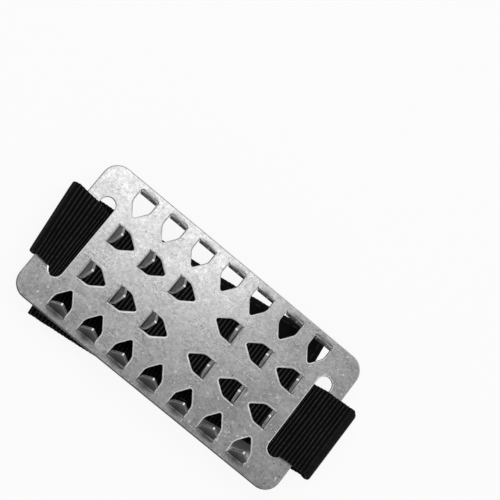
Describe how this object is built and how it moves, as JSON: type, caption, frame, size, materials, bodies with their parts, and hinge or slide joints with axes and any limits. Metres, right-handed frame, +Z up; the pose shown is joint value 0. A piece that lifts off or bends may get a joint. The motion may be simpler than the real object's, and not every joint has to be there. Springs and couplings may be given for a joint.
{
  "type": "ice cleat",
  "caption": "Slip-on ice cleat: a punched zinc-plated steel plate with upturned teeth, on a black elastic strap threaded through its end slots and folded under it.",
  "frame": {"origin": "on the surface that the folded cleat lies on, under the middle of the plate", "axes": "+X along the plate's length, +Y across it towards its back edge, +Z up out of the toothed face"},
  "size_m": [0.114, 0.0516, 0.0157],
  "materials": {
    "zinc_steel": "dull zinc plating with bright sheared edges",
    "webbing": "cross-ribbed woven elastic",
    "loop_tape": "soft loop pile",
    "hook_tape": "stiff hook tape",
    "thread": "polyester thread"
  },
  "bodies": {
    "plate": {"cleat_plate": "zinc_steel", "strap_centre": "webbing"},
    "right_fold_upper": {"right_fold_upper": "webbing"},
    "right_fold_lower": {"right_fold_lower": "webbing"},
    "right_tail": {"right_tail_root": "webbing", "loop_tape_root": "loop_tape", "loop_stitches_root": "thread"},
    "right_tail_end": {"right_tail_end": "webbing", "loop_tape_end": "loop_tape", "loop_stitches_end": "thread"},
    "left_fold_upper": {"left_fold_upper": "webbing"},
    "left_fold_lower": {"left_fold_lower": "webbing"},
    "left_tail": {"left_tail": "webbing", "hook_tape": "hook_tape", "hook_stitches": "thread"}
  },
  "joints": [
    {"name": "right_unfold", "type": "hinge", "parent": "plate", "child": "right_fold_upper", "pos_m": [0.05582, -0.0007, 0.00952], "axis": [0, -1, 0], "range_deg": [0, 60]},
    {"name": "right_unfold_side", "type": "hinge", "parent": "right_fold_upper", "child": "right_fold_lower", "pos_m": [0.058, -0.0007, 0.00555], "axis": [0, -1, 0], "range_deg": [0, 60]},
    {"name": "right_unfold_lower", "type": "hinge", "parent": "right_fold_lower", "child": "right_tail", "pos_m": [0.05582, -0.0007, 0.00158], "axis": [0, -1, 0], "range_deg": [0, 60]},
    {"name": "left_unfold", "type": "hinge", "parent": "plate", "child": "left_fold_upper", "pos_m": [-0.05329, -0.00055, 0.00978], "axis": [-0.1253, 0.9921, 0], "range_deg": [0, 12]},
    {"name": "left_unfold_side", "type": "hinge", "parent": "left_fold_upper", "child": "left_fold_lower", "pos_m": [-0.05449, -0.0007, 0.0065], "axis": [-0.1253, 0.9921, 0], "range_deg": [0, 12]},
    {"name": "left_unfold_lower", "type": "hinge", "parent": "left_fold_lower", "child": "left_tail", "pos_m": [-0.05329, -0.00055, 0.00322], "axis": [-0.1253, 0.9921, 0], "range_deg": [0, 12]},
    {"name": "right_tail_bend", "type": "hinge", "parent": "right_tail", "child": "right_tail_end", "pos_m": [0.02987, -0.00396, 0], "axis": [0.1357, -0.9907, 0], "range_deg": [0, 150]}
  ],
  "couplings": [
    {"joint": "right_unfold_side", "follows": "right_unfold", "ratio": 1},
    {"joint": "right_unfold_lower", "follows": "right_unfold", "ratio": 1},
    {"joint": "left_unfold", "follows": "right_unfold", "ratio": 0.2},
    {"joint": "left_unfold_side", "follows": "right_unfold", "ratio": 0.2},
    {"joint": "left_unfold_lower", "follows": "right_unfold", "ratio": 0.2}
  ]
}
